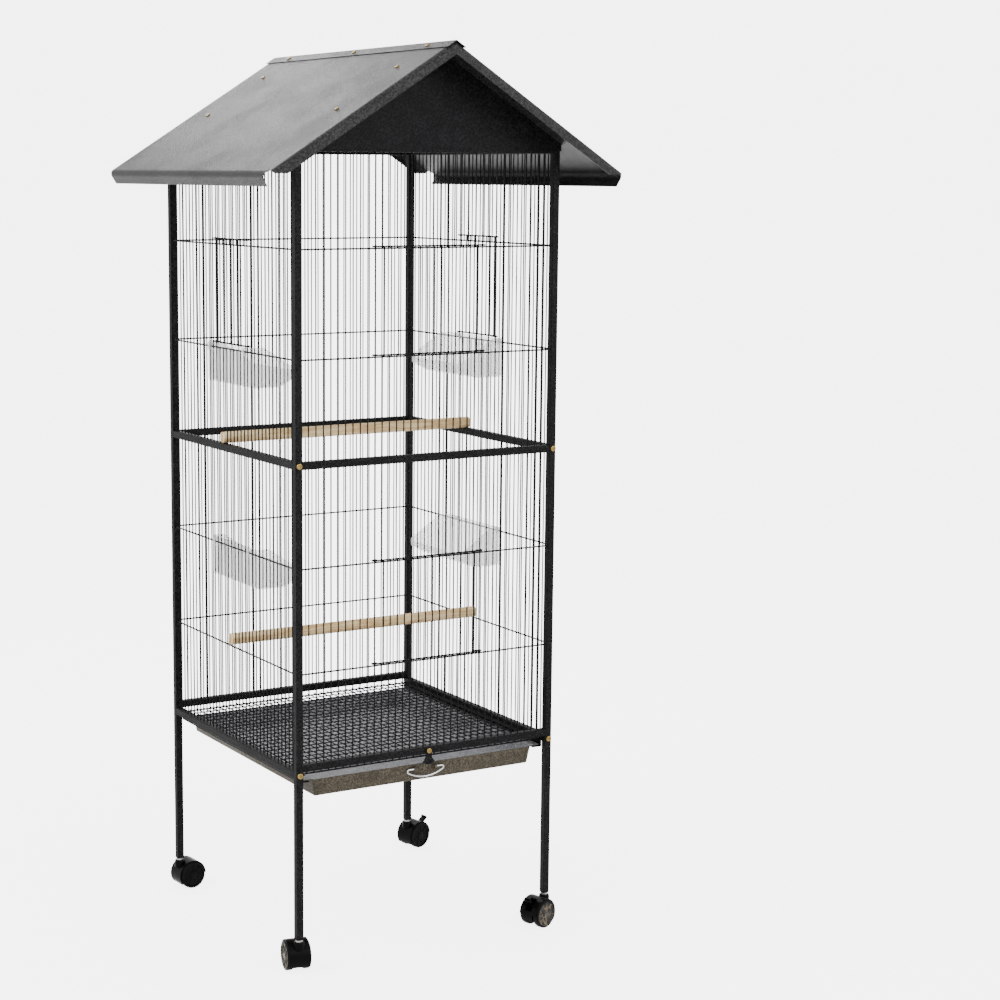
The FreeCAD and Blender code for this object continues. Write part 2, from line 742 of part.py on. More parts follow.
def sector_ring(r_in, r_out, half, start_deg, end_deg):
    """Part of a ring about the axle between two angles from +X."""
    tube_ring = rod(r_out, (caster_trail, -half, axle_z), (caster_trail, half, axle_z))
    tube_ring = tube_ring.cut(rod(r_in, (caster_trail, -half - 1, axle_z), (caster_trail, half + 1, axle_z)))
    far = r_out * 3
    steps = 8
    fan = [(caster_trail, -half - 1, axle_z)]
    for k in range(steps + 1):
        a = math.radians(start_deg + (end_deg - start_deg) * k / steps)
        fan.append((caster_trail + far * math.cos(a), -half - 1, axle_z + far * math.sin(a)))
    return tube_ring.common(prism(fan, (0, 2 * half + 2, 0)))


def caster_hood(with_lever):
    """Hood: web between the wheels with stub axles, fender over them, neck round the stem, lever slot."""
    r_in = wheel_r + hood_gap
    r_out = r_in + hood_skin
    web = rod(r_out, (caster_trail, -hood_half, axle_z), (caster_trail, hood_half, axle_z))
    web = web.cut(box((-60, 60), (-30, 30), (-40, hood_floor_gap)))
    fender = sector_ring(r_in, r_out, hood_side, 2.0, 214.0)
    neck = rod(hood_neck / 2, (0, 0, axle_z), (0, 0, hood_top_z))
    neck = neck.cut(rod(r_in, (caster_trail, -30, axle_z), (caster_trail, -hood_half, axle_z)))
    neck = neck.cut(rod(r_in, (caster_trail, hood_half, axle_z), (caster_trail, 30, axle_z)))
    hood = web.fuse([fender, neck])
    hood = hood.cut(rod(stem_diameter / 2 + running_gap, (0, 0, stem_low_z - 0.6), (0, 0, hood_top_z + 1)))
    reach = wheel_inner + wheel_width - 3.0
    hood = hood.fuse(rod(caster_axle / 2, (caster_trail, -reach, axle_z), (caster_trail, reach, axle_z)))
    if with_lever:
        x = caster_trail + lever_out
        slot = box((x - 6.0, x + 30), (-lever_half - slide_gap, lever_half + slide_gap), (lever_z - 8.0, 80))
        hood = hood.cut(slot)
        hood = hood.cut(rod(lever_pin / 2 + running_gap, (x, -hood_half, lever_z), (x, hood_half, lever_z)))
    return hood


def caster_wheel(side):
    """One wheel of a pair, with a rounded tread edge, a dished outer face and a hub that hides the axle."""
    y_in = side * wheel_inner
    y_out = side * (wheel_inner + wheel_width)
    wheel = rod(wheel_r, (caster_trail, y_in, axle_z), (caster_trail, y_out, axle_z))
    wheel = wheel.makeFillet(1.6, [e for e in wheel.Edges if isinstance(e.Curve, Part.Circle)])
    dish_ends = [(caster_trail, y_out - side * 2.5, axle_z), (caster_trail, y_out + side, axle_z)]
    dish = rod(wheel_r - 4.5, *dish_ends)
    hub = rod(6.5, (caster_trail, y_out - side * 4, axle_z), (caster_trail, y_out - side * 0.6, axle_z))
    wheel = wheel.cut(dish).fuse(hub)
    return wheel.cut(rod(caster_axle / 2 + running_gap, (caster_trail, y_in - side, axle_z),
                         (caster_trail, y_out - side * 2.6, axle_z)))


def brake_lever():
    """Pedal on its pin at the rear of the hood, raised."""
    x = caster_trail + lever_out
    barrel = rod(lever_thick, (x, -lever_half, lever_z), (x, lever_half, lever_z))
    half = lever_thick / 2
    arm = box((x, x + lever_length), (-lever_half, lever_half), (lever_z - half, lever_z + half))
    toe = box((x + lever_length - 2.4, x + lever_length), (-lever_half, lever_half),
              (lever_z - lever_thick / 2, lever_z + lever_thick / 2 + 2.6))
    pedal = barrel.fuse([arm, toe])
    pedal.rotate(Vector(x, 0, lever_z), Y_AXIS, -lever_lift_deg)
    reach = hood_half - 0.3
    return pedal.fuse(rod(lever_pin / 2, (x, -reach, lever_z), (x, reach, lever_z)))


def caster_stem():
    """Stem with collar: the lower end turns in the hood, the upper end is pressed into the leg plug."""
    top = leg_bottom_z + stem_reach
    stem = rod(stem_diameter / 2, (0, 0, stem_low_z), (0, 0, top))
    collar_z = hood_top_z + slide_gap
    collar = rod(stem_collar / 2, (0, 0, collar_z), (0, 0, collar_z + stem_collar_height))
    return stem.fuse(collar)


def leg_plug():
    """Square plug in the foot of a leg, bored for the caster stem."""
    half = tube / 2 - tube_wall
    plug = box((-half, half), (-half, half), (leg_bottom_z, leg_bottom_z + plug_height))
    flange = box((-half - 0.8, half + 0.8), (-half - 0.8, half + 0.8), (leg_bottom_z - 0.8, leg_bottom_z))
    bore = rod(stem_diameter / 2, (0, 0, leg_bottom_z - 2), (0, 0, leg_bottom_z + stem_reach))
    return plug.fuse(flange).cut(bore)


def at_corner(shapes, name, turned=True):
    """Copies of caster pieces, turned to the caster's heading and moved under its leg."""
    placed = []
    sx, sy = corners[name]
    for shape in shapes:
        copy = shape.copy()
        if turned:
            copy.rotate(Vector(0, 0, 0), Z_AXIS, caster_heading[name])
        copy.translate(Vector(sx * post_x, sy * post_y, 0))
        placed.append(copy)
    return placed


def main():
    os.makedirs("parts", exist_ok=True)

    for name, (sx, sy) in corners.items():
        export("post_" + name, post(sx, sy))
        export("leg_" + name, leg(sx, sy))
    front_hole = rod(bolt_shank / 2 + running_gap, (0, -half_d - 1, bottom_rail_z), (0, -post_y, bottom_rail_z))
    front_bottom = end_rail(-1, bottom_rail_z).cut(front_hole)
    export("front_rails", [end_rail(-1, top_rail_z), end_rail(-1, mid_rail_z), front_bottom])
    export("back_rails", [end_rail(1, z) for z in (top_rail_z, mid_rail_z, bottom_rail_z)])
    for name, sx in (("left_rails", -1), ("right_rails", 1)):
        export(name, [side_rail(sx, top_rail_z, False), side_rail(sx, mid_rail_z, True),
                      side_rail(sx, side_rail_z, True)])
    export("frame_bolts", frame_bolts())

    upper = (mid_rail_z + tube / 2, top_rail_z - tube / 2)
    end_lower = (bottom_rail_z + tube / 2, mid_rail_z - tube / 2)
    side_lower = (side_rail_z + tube / 2, mid_rail_z - tube / 2)
    side_y = -post_x
    export("front_upper_wires", wire_wall(inner_x, *upper, upper_opening, door_half_gaps, -post_y))
    export("front_lower_wires", wire_wall(inner_x, *end_lower, lower_opening, door_half_gaps, -post_y))
    export("back_upper_wires", turn_all(wire_wall(inner_x, *upper, upper_opening, 0, -post_y), 180))
    export("back_lower_wires", turn_all(wire_wall(inner_x, *end_lower, lower_opening, 0, -post_y), 180))
    for name, turn in (("left", -90), ("right", 90)):
        high = wire_wall(inner_y, *upper, upper_opening, feeder_half_gaps, side_y)
        low = wire_wall(inner_y, *side_lower, lower_opening, 0, side_y)
        export(name + "_upper_wires", turn_all(high, turn))
        export(name + "_lower_wires", turn_all(low, turn))

    lift = cross_wire + wire_clearance
    export("front_door_upper", welded_door(pitch_x, door_half_gaps, upper_opening[0] + lift,
                                           upper_opening[1] + lift, 0))
    export("front_door_lower", welded_door(pitch_x, door_half_gaps, lower_opening[0] + lift,
                                           lower_opening[1] + lift, 0))
    rest = cup_rise + cross_wire / 2 + wire_clearance
    for name, turn in (("feeder_door_left", -90), ("feeder_door_right", 90)):
        leaf = welded_door(pitch_y, feeder_half_gaps, upper_opening[0] + rest, upper_opening[1] + rest,
                           side_y - upright_y)
        export(name, turn_all([leaf], turn))

    right_sheet = drill(roof_sheet(), screw_shank / 2 + running_gap)
    export("roof_right", right_sheet)
    export("roof_left", half_turn(right_sheet))
    export("ridge_cap", drill(ridge_cap(), screw_shank / 2 + running_gap))
    front_gable = drill(gable(), screw_shank / 2 + running_gap)
    export("gable_front", front_gable)
    export("gable_back", half_turn(front_gable))
    screws = []
    for place, out in roof_screw_places():
        screws.append(cross_head(tuple(place), tuple(out), screw_head, screw_head_height, screw_shank, 8.0))
    export("roof_screws", screws)

    export("tray_runners", [tray_runner(-1), tray_runner(1)])
    export("grate", grate())
    export("tray", tray())
    export("tray_handle", tray_handle())
    export("handle_lugs", [handle_lug(-1), handle_lug(1)])
    export("latch_plate", latch_plate())
    export("latch_screw", latch_screw())

    for name, level, side, shift in (("cup_upper_left", upper_opening[0], -1, -1),
                                     ("cup_upper_right", upper_opening[0], 1, 0),
                                     ("cup_lower_left", lower_opening[1], -1, 0),
                                     ("cup_lower_right", lower_opening[1], 1, 0)):
        placed = cup(level, shift)
        export(name, placed if side > 0 else half_turn(placed))
    radius = perch_diameter / 2
    export("perch_upper", perch(2.5 * pitch_y, mid_rail_z + tube / 2 + radius))
    export("perch_lower", perch(0.5 * pitch_y, lower_opening[0] + cross_wire / 2 + radius))

    stems = []
    plugs = []
    for name in corners:
        braking = name in braked
        export("caster_hood_" + name, at_corner([caster_hood(braking)], name))
        export("wheel_%s_a" % name, at_corner([caster_wheel(-1)], name))
        export("wheel_%s_b" % name, at_corner([caster_wheel(1)], name))
        if braking:
            export("brake_lever_" + name, at_corner([brake_lever()], name))
        stems += at_corner([caster_stem()], name)
        plugs += at_corner([leg_plug()], name, turned=False)
    export("caster_stems", stems)
    export("leg_plugs", plugs)


main()
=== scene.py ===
import json
import math

import bmesh
import bpy
from mathutils import Matrix, Vector


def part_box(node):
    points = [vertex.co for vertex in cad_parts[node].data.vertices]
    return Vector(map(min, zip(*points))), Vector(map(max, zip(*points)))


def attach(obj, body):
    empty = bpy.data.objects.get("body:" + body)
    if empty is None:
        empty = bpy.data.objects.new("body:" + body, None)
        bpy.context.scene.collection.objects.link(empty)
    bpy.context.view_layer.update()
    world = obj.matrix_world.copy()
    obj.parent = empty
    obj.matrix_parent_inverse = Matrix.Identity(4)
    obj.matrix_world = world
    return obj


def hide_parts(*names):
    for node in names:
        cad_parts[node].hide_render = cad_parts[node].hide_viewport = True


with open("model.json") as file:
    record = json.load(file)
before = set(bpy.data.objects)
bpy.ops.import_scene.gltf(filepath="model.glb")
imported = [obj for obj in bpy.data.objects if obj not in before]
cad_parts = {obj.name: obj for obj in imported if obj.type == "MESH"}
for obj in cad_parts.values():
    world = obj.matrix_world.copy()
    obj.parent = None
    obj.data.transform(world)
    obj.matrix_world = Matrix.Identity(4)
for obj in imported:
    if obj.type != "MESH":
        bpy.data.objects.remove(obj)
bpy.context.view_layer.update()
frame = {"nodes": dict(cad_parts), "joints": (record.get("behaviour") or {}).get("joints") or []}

X = Vector((1, 0, 0))
Y = Vector((0, 1, 0))
Z = Vector((0, 0, 1))
MM = 0.001
CREASE = math.radians(35)


# Finishes: effects shared by several materials

def new_group(name, inputs, outputs):
    """Empty node group with (name, kind, default) inputs and (name, kind) outputs."""
    tree = bpy.data.node_groups.new(name, "ShaderNodeTree")
    for label, kind, default in inputs:
        socket = tree.interface.new_socket(label, in_out="INPUT", socket_type=kind)
        socket.default_value = default
    for label, kind in outputs:
        tree.interface.new_socket(label, in_out="OUTPUT", socket_type=kind)
    return tree, tree.nodes.new("NodeGroupInput"), tree.nodes.new("NodeGroupOutput")


def math_node(tree, operation, a, b=0.5, clamp=False):
    """Math node; a and b are sockets or plain numbers."""
    node = tree.nodes.new("ShaderNodeMath")
    node.operation = operation
    node.use_clamp = clamp
    for slot, value in zip(node.inputs, (a, b)):
        if isinstance(value, bpy.types.NodeSocket):
            tree.links.new(value, slot)
        else:
            slot.default_value = value
    return node.outputs[0]


def ramp(tree, value, stops):
    """Grey or colour ramp through (place, level or colour) stops."""
    node = tree.nodes.new("ShaderNodeValToRGB")
    elements = node.color_ramp.elements
    while len(elements) < len(stops):
        elements.new(0.5)
    for element, (place, level) in zip(elements, stops):
        element.position = place
        element.color = (level, level, level, 1) if isinstance(level, (int, float)) else (*level, 1)
    tree.links.new(value, node.inputs[0])
    return node.outputs[0]


def mix_colour(tree, factor, a, b):
    node = tree.nodes.new("ShaderNodeMix")
    node.data_type = "RGBA"
    for slot, value in ((node.inputs[0], factor), (node.inputs[6], a), (node.inputs[7], b)):
        if isinstance(value, bpy.types.NodeSocket):
            tree.links.new(value, slot)
        elif slot.type == "RGBA":
            slot.default_value = (*value, 1)
        else:
            slot.default_value = value
    return node.outputs[2]


def noise(tree, place, scale, detail=3.0, rough=0.55, warp=0.0):
    node = tree.nodes.new("ShaderNodeTexNoise")
    node.inputs["Detail"].default_value = detail
    node.inputs["Roughness"].default_value = rough
    node.inputs["Distortion"].default_value = warp
    tree.links.new(place, node.inputs["Vector"])
    if isinstance(scale, bpy.types.NodeSocket):
        tree.links.new(scale, node.inputs["Scale"])
    else:
        node.inputs["Scale"].default_value = scale
    return node.outputs["Fac"]


def hammered_coat_group():
    """Hammer-tone powder coat: dark pools with paler veins and flecks between them."""
    tree, inp, out = new_group(
        "hammered_coat",
        [("Pool", "NodeSocketColor", (0.02, 0.02, 0.02, 1)), ("Vein", "NodeSocketColor", (0.2, 0.2, 0.2, 1)),
         ("Cells", "NodeSocketFloat", 420.0), ("Gloss", "NodeSocketFloat", 0.32)],
        [("Color", "NodeSocketColor"), ("Roughness", "NodeSocketFloat"), ("Height", "NodeSocketFloat")])
    place = tree.nodes.new("ShaderNodeTexCoord").outputs["Object"]
    swirl = noise(tree, place, 260.0, 2.0)
    shifted = tree.nodes.new("ShaderNodeVectorMath")
    shifted.operation = "MULTIPLY_ADD"
    tree.links.new(swirl, shifted.inputs[0])
    shifted.inputs[1].default_value = (0.0016, 0.0016, 0.0016)
    tree.links.new(place, shifted.inputs[2])
    cells = tree.nodes.new("ShaderNodeTexVoronoi")
    cells.feature = "DISTANCE_TO_EDGE"
    tree.links.new(shifted.outputs[0], cells.inputs["Vector"])
    tree.links.new(inp.outputs["Cells"], cells.inputs["Scale"])
    ring = ramp(tree, cells.outputs["Distance"], [(0.0, 0.5), (0.13, 0.1), (0.36, 0.0)])
    speck = noise(tree, shifted.outputs[0], inp.outputs["Cells"], 2.0, 0.6)
    fleck = ramp(tree, speck, [(0.46, 0.0), (0.64, 1.0)])
    patch = ramp(tree, noise(tree, place, 34.0, 4.0), [(0.3, 0.55), (0.75, 1.0)])
    vein = math_node(tree, "MULTIPLY", math_node(tree, "ADD", ring, fleck, clamp=True), patch)
    tree.links.new(mix_colour(tree, vein, inp.outputs["Pool"], inp.outputs["Vein"]), out.inputs["Color"])
    shine = math_node(tree, "MULTIPLY_ADD", vein, 0.18)
    tree.links.new(inp.outputs["Gloss"], shine.node.inputs[2])
    tree.links.new(shine, out.inputs["Roughness"])
    dome = ramp(tree, cells.outputs["Distance"], [(0.0, 0.0), (0.4, 0.8), (1.0, 1.0)])
    tree.links.new(dome, out.inputs["Height"])
    return tree


def settled_dust_group():
    """Pale dust on faces that look upwards, in soft patches."""
    tree, inp, out = new_group(
        "settled_dust",
        [("Color", "NodeSocketColor", (0, 0, 0, 1)), ("Dust", "NodeSocketColor", (0.45, 0.43, 0.4, 1)),
         ("Amount", "NodeSocketFloat", 0.1)],
        [("Color", "NodeSocketColor"), ("Mask", "NodeSocketFloat")])
    facing = tree.nodes.new("ShaderNodeSeparateXYZ")
    tree.links.new(tree.nodes.new("ShaderNodeNewGeometry").outputs["Normal"], facing.inputs[0])
    up = ramp(tree, facing.outputs["Z"], [(0.35, 0.0), (0.95, 1.0)])
    place = tree.nodes.new("ShaderNodeTexCoord").outputs["Object"]
    patch = ramp(tree, noise(tree, place, 18.0, 6.0, 0.65), [(0.35, 0.1), (0.7, 1.0)])
    settled = math_node(tree, "MULTIPLY", up, patch)
    mask = math_node(tree, "MULTIPLY", settled, inp.outputs["Amount"], clamp=True)
    tree.links.new(mix_colour(tree, mask, inp.outputs["Color"], inp.outputs["Dust"]), out.inputs["Color"])
    tree.links.new(mask, out.inputs["Mask"])
    return tree


def handling_wear_group():
    """Faint rubbed marks and small scratches left by hands and other metal."""
    tree, inp, out = new_group(
        "handling_wear",
        [("Color", "NodeSocketColor", (0, 0, 0, 1)), ("Rubbed", "NodeSocketColor", (0.3, 0.3, 0.3, 1)),
         ("Amount", "NodeSocketFloat", 0.2), ("Roughness", "NodeSocketFloat", 0.4)],
        [("Color", "NodeSocketColor"), ("Roughness", "NodeSocketFloat")])
    place = tree.nodes.new("ShaderNodeTexCoord").outputs["Object"]
    broad = ramp(tree, noise(tree, place, 9.0, 5.0), [(0.45, 0.0), (0.72, 1.0)])
    stretch = tree.nodes.new("ShaderNodeMapping")
    stretch.inputs["Scale"].default_value = (900.0, 900.0, 60.0)
    tree.links.new(place, stretch.inputs["Vector"])
    fine = ramp(tree, noise(tree, stretch.outputs[0], 1.0, 2.0), [(0.62, 0.0), (0.7, 1.0)])
    scratch = math_node(tree, "MULTIPLY", broad, fine)
    mark = math_node(tree, "MULTIPLY", scratch, inp.outputs["Amount"], clamp=True)
    tree.links.new(mix_colour(tree, mark, inp.outputs["Color"], inp.outputs["Rubbed"]), out.inputs["Color"])
    drift = math_node(tree, "MULTIPLY_ADD", broad, 0.08)
    tree.links.new(inp.outputs["Roughness"], drift.node.inputs[2])
    tree.links.new(drift, out.inputs["Roughness"])
    return tree


def moulded_grain_group():
    """Fine moulded plastic texture with slow colour drift."""
    tree, inp, out = new_group(
        "moulded_grain",
        [("Color", "NodeSocketColor", (0.02, 0.02, 0.02, 1)),
         ("Pale", "NodeSocketColor", (0.05, 0.05, 0.05, 1)),
         ("Grain", "NodeSocketFloat", 1500.0), ("Gloss", "NodeSocketFloat", 0.4)],
        [("Color", "NodeSocketColor"), ("Roughness", "NodeSocketFloat"), ("Height", "NodeSocketFloat")])
    place = tree.nodes.new("ShaderNodeTexCoord").outputs["Object"]
    slow = ramp(tree, noise(tree, place, 22.0, 4.0), [(0.35, 0.0), (0.75, 1.0)])
    tree.links.new(mix_colour(tree, slow, inp.outputs["Color"], inp.outputs["Pale"]), out.inputs["Color"])
    fine = noise(tree, place, inp.outputs["Grain"], 2.0)
    rough = math_node(tree, "MULTIPLY_ADD", slow, 0.12)
    tree.links.new(inp.outputs["Gloss"], rough.node.inputs[2])
    tree.links.new(rough, out.inputs["Roughness"])
    tree.links.new(fine, out.inputs["Height"])
    return tree


RUBBED_GAIN = 1.5
WIRE_DRIFT = 1.9
COAT = hammered_coat_group()
DUST = settled_dust_group()
WEAR = handling_wear_group()
GRAIN = moulded_grain_group()


def place_group(tree, group, **values):
    """Group node with values set by socket name, underscores for spaces; sockets are linked."""
    node = tree.nodes.new("ShaderNodeGroup")
    node.node_tree = group
    for label, value in values.items():
        slot = node.inputs[label.replace("_", " ")]
        if isinstance(value, bpy.types.NodeSocket):
            tree.links.new(value, slot)
        elif slot.type == "RGBA":
            slot.default_value = (*value, 1)
        else:
            slot.default_value = value
    return node


def start_material(name, metallic=0.0, **sockets):
    """Material with its Principled shader; returns material, tree and shader."""
    material = bpy.data.materials.new(name)
    material.use_nodes = True
    tree = material.node_tree
    shader = tree.nodes["Principled BSDF"]
    shader.inputs["Metallic"].default_value = metallic
    for label, value in sockets.items():
        shader.inputs[label.replace("_", " ")].default_value = value
    return material, tree, shader


def bump(tree, shader, height, strength, distance):
    node = tree.nodes.new("ShaderNodeBump")
    node.inputs["Strength"].default_value = strength
    node.inputs["Distance"].default_value = distance
    tree.links.new(height, node.inputs["Height"])
    tree.links.new(node.outputs[0], shader.inputs["Normal"])


def hammered_paint(name, pool, vein, cells, gloss, depth, metallic, sheen=0.3, dust=0.1, wear=0.2):
    """Hammer-tone powder coat with handling marks and a little dust."""
    material, tree, shader = start_material(name, metallic, Specular_IOR_Level=sheen)
    coat = place_group(tree, COAT, Pool=pool, Vein=vein, Cells=cells, Gloss=gloss)
    rubbed = tuple(c * RUBBED_GAIN for c in vein)
    worn = place_group(tree, WEAR, Color=coat.outputs["Color"], Rubbed=rubbed, Amount=wear,
                       Roughness=coat.outputs["Roughness"])
    dusty = place_group(tree, DUST, Color=worn.outputs["Color"], Amount=dust)
    tree.links.new(dusty.outputs["Color"], shader.inputs["Base Color"])
    tree.links.new(worn.outputs["Roughness"], shader.inputs["Roughness"])
    bump(tree, shader, coat.outputs["Height"], 0.55, depth)
    return material


def wire_paint(name, tone, gloss, dust=0.05):
    """Thin satin coat on wire, slightly uneven along its length."""
    material, tree, shader = start_material(name, 0.0, Specular_IOR_Level=0.16)
    grain = place_group(tree, GRAIN, Color=tone, Pale=tuple(c * WIRE_DRIFT for c in tone), Grain=900.0,
                        Gloss=gloss)
    dusty = place_group(tree, DUST, Color=grain.outputs["Color"], Amount=dust)
    tree.links.new(dusty.outputs["Color"], shader.inputs["Base Color"])
    tree.links.new(grain.outputs["Roughness"], shader.inputs["Roughness"])
    bump(tree, shader, grain.outputs["Height"], 0.25, 0.0002)
    return material


def moulded_plastic(name, tone, pale, gloss, grain=1500.0, dust=0.2, depth=0.0002, **sockets):
    material, tree, shader = start_material(name, 0.0, **sockets)
    skin = place_group(tree, GRAIN, Color=tone, Pale=pale, Grain=grain, Gloss=gloss)
    dusty = place_group(tree, DUST, Color=skin.outputs["Color"], Amount=dust)
    tree.links.new(dusty.outputs["Color"], shader.inputs["Base Color"])
    tree.links.new(skin.outputs["Roughness"], shader.inputs["Roughness"])
    bump(tree, shader, skin.outputs["Height"], 0.3, depth)
    return material


def plated_metal(name, tone, stain, gloss, streak=220.0):
    """Bright plated metal with slow tone drift and fine turning marks."""
    material, tree, shader = start_material(name, 1.0)
    place = tree.nodes.new("ShaderNodeTexCoord").outputs["Object"]
    drift = ramp(tree, noise(tree, place, streak, 4.0), [(0.35, 0.0), (0.7, 1.0)])
    tree.links.new(mix_colour(tree, drift, tone, stain), shader.inputs["Base Color"])
    fine = noise(tree, place, 2400.0, 3.0)
    rough = math_node(tree, "MULTIPLY_ADD", fine, 0.22)
    rough.node.inputs[2].default_value = gloss
    tree.links.new(rough, shader.inputs["Roughness"])
    bump(tree, shader, fine, 0.15, 0.0001)
    return material


def pine_dowel(name):
    """Bare pine turned round: long pale grain along the dowel, darker streaks, open end grain."""
    material, tree, shader = start_material(name, 0.0, Specular_IOR_Level=0.35)
    place = tree.nodes.new("ShaderNodeTexCoord").outputs["Object"]
    stretch = tree.nodes.new("ShaderNodeMapping")
    stretch.inputs["Scale"].default_value = (7.0, 95.0, 95.0)
    tree.links.new(place, stretch.inputs["Vector"])
    figure = noise(tree, stretch.outputs[0], 1.0, 5.0, 0.6, 0.8)
    pores = tree.nodes.new("ShaderNodeMapping")
    pores.inputs["Scale"].default_value = (45.0, 900.0, 900.0)
    tree.links.new(place, pores.inputs["Vector"])
    fine = noise(tree, pores.outputs[0], 1.0, 3.0)
    bands = ramp(tree, figure, [(0.3, (0.95, 0.76, 0.46)), (0.48, (0.88, 0.66, 0.36)),
                                (0.56, (0.68, 0.42, 0.18)), (0.66, (0.92, 0.71, 0.40))])
    dark = ramp(tree, fine, [(0.55, 0.0), (0.75, 0.35)])
    tree.links.new(mix_colour(tree, dark, bands, (0.5, 0.33, 0.18)), shader.inputs["Base Color"])
    tree.links.new(ramp(tree, fine, [(0.3, 0.5), (0.8, 0.68)]), shader.inputs["Roughness"])
    bump(tree, shader, fine, 0.35, 0.0003)
    return material


def brown_swirl_plastic(name):
    """Wheel covers: dark plastic with a brownish flow pattern from moulding."""
    material, tree, shader = start_material(name, 0.0)
    place = tree.nodes.new("ShaderNodeTexCoord").outputs["Object"]
    swirl = noise(tree, place, 60.0, 3.0, 0.5, 3.0)
    tone = ramp(tree, swirl, [(0.4, (0.004, 0.004, 0.0035)), (0.52, (0.03, 0.024, 0.015)),
                              (0.64, (0.20, 0.155, 0.095))])
    dusty = place_group(tree, DUST, Color=tone, Amount=0.08)
    tree.links.new(dusty.outputs["Color"], shader.inputs["Base Color"])
    tree.links.new(ramp(tree, swirl, [(0.3, 0.34), (0.8, 0.5)]), shader.inputs["Roughness"])
    bump(tree, shader, noise(tree, place, 1400.0, 2.0), 0.3, 0.0002)
    return material


FRAME_PAINT = hammered_paint(
    "black_silver_vein", pool=(0.001, 0.001, 0.0012), vein=(0.026, 0.026, 0.027), cells=300.0, gloss=0.4,
    depth=0.0006, metallic=0.0, sheen=0.08, dust=0.005)
ROOF_PAINT = hammered_paint(
    "grey_hammered_sheet", pool=(0.003, 0.003, 0.0033), vein=(0.05, 0.05, 0.051), cells=300.0, gloss=0.34,
    depth=0.0008, metallic=0.0, sheen=0.24, dust=0.01)
GABLE_PAINT = hammered_paint(
    "black_hammered_sheet", pool=(0.001, 0.001, 0.0012), vein=(0.018, 0.018, 0.02), cells=300.0, gloss=0.42,
    depth=0.0006, metallic=0.0, sheen=0.1, dust=0.005)
TRAY_PAINT = hammered_paint(
    "bronze_hammered_sheet", pool=(0.022, 0.019, 0.014), vein=(0.17, 0.143, 0.098), cells=420.0, gloss=0.4,
    depth=0.0006, metallic=0.2, sheen=0.25, dust=0.01)
TRAY_INSIDE = hammered_paint(
    "grey_hammered_sheet_inside", pool=(0.2, 0.205, 0.22), vein=(0.6, 0.61, 0.65), cells=300.0, gloss=0.36,
    depth=0.0007, metallic=0.3, sheen=0.5, dust=0.08)
BLACK_WIRE = wire_paint("black_wire_coat", (0.0016, 0.0016, 0.0018), 0.42, dust=0.02)
GRATE_WIRE = wire_paint("grate_wire_coat", (0.0016, 0.0016, 0.0018), 0.45, dust=0.02)
YELLOW_ZINC = plated_metal("yellow_zinc_plate", (0.46, 0.33, 0.12), (0.30, 0.20, 0.06), 0.12)
GREY_ZINC = plated_metal("grey_zinc_plate", (0.72, 0.71, 0.68), (0.5, 0.49, 0.46), 0.24)
CHROME = plated_metal("chrome_wire", (0.9, 0.9, 0.91), (0.78, 0.78, 0.8), 0.03)
WHITE_CUP = moulded_plastic(
    "milky_cup_plastic", (0.93, 0.94, 0.935), (0.97, 0.975, 0.97), gloss=0.3, grain=700.0, dust=0.0,
    IOR=1.49, Alpha=0.35)
BLACK_PLASTIC = moulded_plastic(
    "black_caster_plastic", (0.001, 0.001, 0.0011), (0.003, 0.003, 0.003), gloss=0.26, dust=0.01,
    Specular_IOR_Level=0.08)
TREAD_PLASTIC = moulded_plastic(
    "black_tread_plastic", (0.0015, 0.0015, 0.0014), (0.006, 0.0055, 0.005), gloss=0.42, grain=900.0, dust=0.02,
    Specular_IOR_Level=0.1)
PLAIN_COVER = moulded_plastic(
    "black_wheel_cover", (0.0012, 0.0012, 0.0011), (0.004, 0.0036, 0.003), gloss=0.32, grain=1100.0, dust=0.01,
    Specular_IOR_Level=0.1)
SWIRL_PLASTIC = brown_swirl_plastic("swirled_wheel_cover")
PINE = pine_dowel("bare_pine")


def finish_nodes(material, *names):
    for name in names:
        mesh = frame["nodes"][name].data
        mesh.materials.clear()
        mesh.materials.append(material)


# Building new pieces

def shade(mesh):
    """Smooth shading that keeps corners sharper than CREASE."""
    mesh.shade_smooth()
    mesh.set_sharp_from_angle(angle=CREASE)


def piece(name, bm, material, body, nodes):
    """Object at the origin from a finished bmesh, riding a body and standing for CAD nodes."""
    bmesh.ops.remove_doubles(bm, verts=bm.verts, dist=1e-6)
    mesh = bpy.data.meshes.new(name)
    bm.to_mesh(mesh)
    bm.free()
    for finish in (material if isinstance(material, (list, tuple)) else [material]):
        mesh.materials.append(finish)
    obj = bpy.data.objects.new(name, mesh)
    bpy.context.scene.collection.objects.link(obj)
    shade(mesh)
    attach(obj, body)
    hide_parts(*nodes)
    return obj


def soft_edges(bm, edges, size, segments=3):
    bmesh.ops.bevel(bm, geom=list(edges), offset=size, segments=segments, affect="EDGES", profile=0.5,
                    material=-1, clamp_overlap=True)


def join_bmesh(target, source, matrix=None):
    """Add a copy of one bmesh to another, placed by a matrix, and free the source."""
    if matrix is not None:
        source.transform(matrix)
        if matrix.determinant() < 0:
            bmesh.ops.reverse_faces(source, faces=source.faces)
    mesh = bpy.data.meshes.new("part")
    source.to_mesh(mesh)
    source.free()
    target.from_mesh(mesh)
    bpy.data.meshes.remove(mesh)


